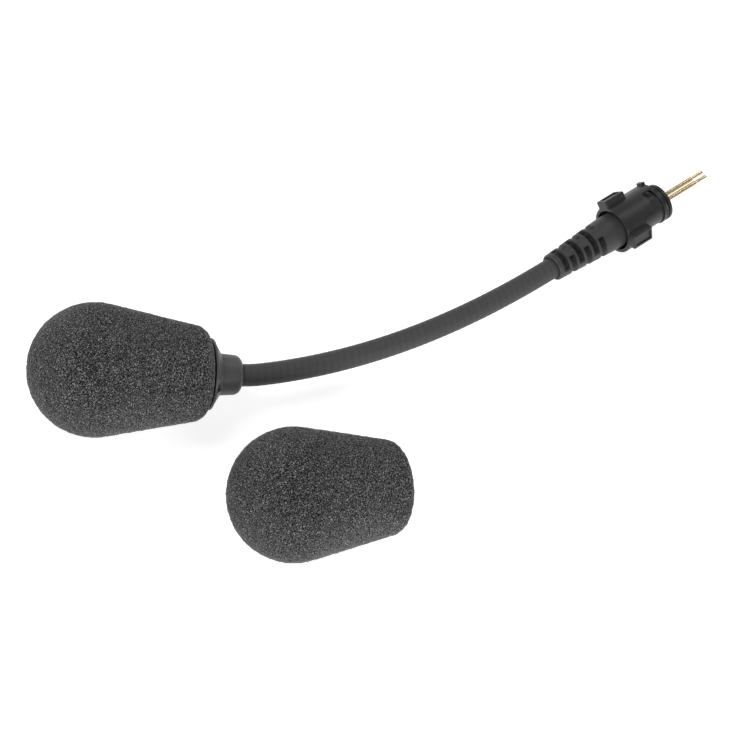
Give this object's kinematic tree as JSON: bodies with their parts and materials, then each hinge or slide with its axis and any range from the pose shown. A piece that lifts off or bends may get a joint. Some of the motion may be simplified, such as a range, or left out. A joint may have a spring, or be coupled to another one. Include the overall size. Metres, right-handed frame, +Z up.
{
  "type": "gooseneck boom microphone",
  "caption": "Detachable gooseneck boom microphone with foam windscreen, slotted strain relief and a two-contact bayonet plug, with a loose spare windscreen beside it.",
  "frame": {"origin": "centre of the connector spigot's front face", "axes": "+X along the contacts, the way the plug leaves its socket; +Z up from the bench that the part lies on"},
  "size_m": [0.2129, 0.0988, 0.0363],
  "materials": {
    "moulded_black": "satin",
    "boot_rubber": "matte",
    "sleeve_black": "matte",
    "foam_charcoal": "matte",
    "spring_steel": "satin",
    "contact_gold": "polished",
    "insulator_black": "satin",
    "seal_rubber": "satin",
    "lead_jacket": "matte",
    "capsule_can": "satin",
    "board_green": "satin",
    "felt": "matte"
  },
  "bodies": {
    "mic_head": {"head_housing": "moulded_black", "head_ferrule": "spring_steel", "capsule_barrel": "moulded_black", "capsule_board": "board_green", "mic_capsule": "capsule_can", "capsule_seat": "seal_rubber", "acoustic_felt": "felt", "front_grille": "spring_steel", "neck_sleeve_9": "sleeve_black", "neck_core_9": "spring_steel", "neck_lead_9": "lead_jacket"},
    "windscreen": {"windscreen_worn": "foam_charcoal"},
    "spare_windscreen": {"windscreen_spare": "foam_charcoal"},
    "neck_link_7": {"neck_sleeve_8": "sleeve_black", "neck_core_8": "spring_steel", "neck_lead_8": "lead_jacket"},
    "neck_link_6": {"neck_sleeve_7": "sleeve_black", "neck_core_7": "spring_steel", "neck_lead_7": "lead_jacket"},
    "neck_link_5": {"neck_sleeve_6": "sleeve_black", "neck_core_6": "spring_steel", "neck_lead_6": "lead_jacket"},
    "neck_link_4": {"neck_sleeve_5": "sleeve_black", "neck_core_5": "spring_steel", "neck_lead_5": "lead_jacket"},
    "neck_link_3": {"neck_sleeve_4": "sleeve_black", "neck_core_4": "spring_steel", "neck_lead_4": "lead_jacket"},
    "neck_link_2": {"neck_sleeve_3": "sleeve_black", "neck_core_3": "spring_steel", "neck_lead_3": "lead_jacket"},
    "neck_link_1": {"neck_sleeve_2": "sleeve_black", "neck_core_2": "spring_steel", "neck_lead_2": "lead_jacket"},
    "plug": {"plug_body": "moulded_black", "contact_carrier": "insulator_black", "contact_pin_live": "contact_gold", "contact_pin_return": "contact_gold", "spigot_seal": "seal_rubber", "collar_spring": "spring_steel", "collar_circlip": "spring_steel", "strain_relief_boot": "boot_rubber", "plug_ferrule": "spring_steel", "neck_sleeve_1": "sleeve_black", "neck_core_1": "spring_steel", "neck_lead_1": "lead_jacket"},
    "collar": {"locking_collar": "moulded_black"}
  },
  "joints": [
    {"name": "neck_swing_1", "type": "hinge", "parent": "mic_head", "child": "neck_link_7", "pos_m": [-0.13644, 0.0164, 0.00365], "axis": [0, -0.2173, 0.9761], "range_deg": [-15, 15]},
    {"name": "neck_lift_1", "type": "hinge", "parent": "neck_link_7", "child": "neck_link_6", "pos_m": [-0.12455, 0.01192, 0.00265], "axis": [-0.3275, -0.9223, -0.2053], "range_deg": [-15, 15]},
    {"name": "neck_swing_2", "type": "hinge", "parent": "neck_link_6", "child": "neck_link_5", "pos_m": [-0.11237, 0.00824, 0.00183], "axis": [0, -0.2173, 0.9761], "range_deg": [-15, 15]},
    {"name": "neck_lift_2", "type": "hinge", "parent": "neck_link_5", "child": "neck_link_4", "pos_m": [-0.09998, 0.00531, 0.00118], "axis": [-0.2062, -0.9551, -0.2126], "range_deg": [-15, 15]},
    {"name": "neck_swing_3", "type": "hinge", "parent": "neck_link_4", "child": "neck_link_3", "pos_m": [-0.08744, 0.00309, 0.00069], "axis": [0, -0.2173, 0.9761], "range_deg": [-15, 15]},
    {"name": "neck_lift_3", "type": "hinge", "parent": "neck_link_3", "child": "neck_link_2", "pos_m": [-0.07479, 0.00151, 0.00034], "axis": [-0.1023, -0.971, -0.2161], "range_deg": [-15, 15]},
    {"name": "neck_swing_4", "type": "hinge", "parent": "neck_link_2", "child": "neck_link_1", "pos_m": [-0.06209, 0.00052, 0.00012], "axis": [0, -0.2173, 0.9761], "range_deg": [-15, 15]},
    {"name": "neck_lift_4", "type": "hinge", "parent": "neck_link_1", "child": "plug", "pos_m": [-0.04934, 0.00006, 0.00001], "axis": [-0.0179, -0.976, -0.2172], "range_deg": [-15, 15]},
    {"name": "collar_turn", "type": "hinge", "parent": "plug", "child": "collar", "pos_m": [-0.0148, 0, 0], "axis": [1, 0, 0], "range_deg": [0, 60]},
    {"name": "windscreen_pull_off", "type": "slide", "parent": "mic_head", "child": "windscreen", "axis": [-0.8499, 0.5144, 0.1145], "range_m": [0, 0.035]},
    {"name": "spare_lift_away", "type": "slide", "parent": "mic_head", "child": "spare_windscreen", "axis": [0, -1, 0], "range_m": [0, 0.06]}
  ],
  "couplings": [
    {"joint": "neck_swing_2", "follows": "neck_swing_1", "ratio": 1},
    {"joint": "neck_lift_2", "follows": "neck_lift_1", "ratio": 1},
    {"joint": "neck_swing_3", "follows": "neck_swing_1", "ratio": 1},
    {"joint": "neck_lift_3", "follows": "neck_lift_1", "ratio": 1},
    {"joint": "neck_swing_4", "follows": "neck_swing_1", "ratio": 1},
    {"joint": "neck_lift_4", "follows": "neck_lift_1", "ratio": 1}
  ]
}
